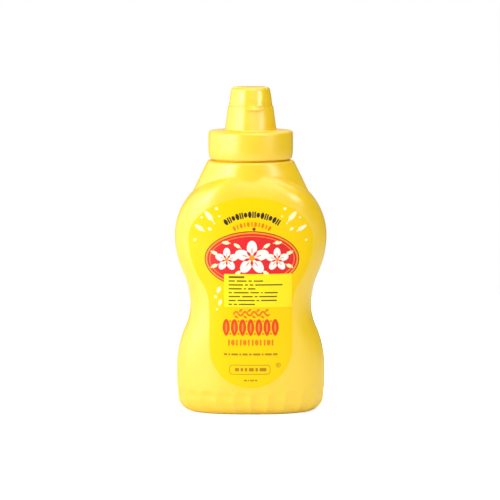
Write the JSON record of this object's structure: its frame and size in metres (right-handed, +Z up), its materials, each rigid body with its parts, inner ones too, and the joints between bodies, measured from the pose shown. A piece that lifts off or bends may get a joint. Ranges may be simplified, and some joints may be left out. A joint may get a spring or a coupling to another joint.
{
  "type": "mustard squeeze bottle",
  "caption": "Upright oval squeeze bottle with a waist, tapered shoulder, round screw closure, conical spout and shut flip lid, with thin labels on front and back.",
  "frame": {"origin": "middle of the base, on the surface that the bottle stands on", "axes": "+Z up along the bottle, +X to the right across the width, the front faces -Y"},
  "size_m": [0.0746, 0.0459, 0.1597],
  "materials": {
    "bottle_plastic": "satin blow-moulded yellow",
    "closure_plastic": "satin moulded yellow",
    "lid_plastic": "glossy moulded yellow",
    "label_film": "printed satin film",
    "sticker_film": "printed matte film"
  },
  "bodies": {
    "root": {"bottle": "bottle_plastic", "closure": "closure_plastic", "lid": "lid_plastic", "front_label": "label_film", "back_label": "label_film", "sticker": "sticker_film"}
  },
  "joints": []
}
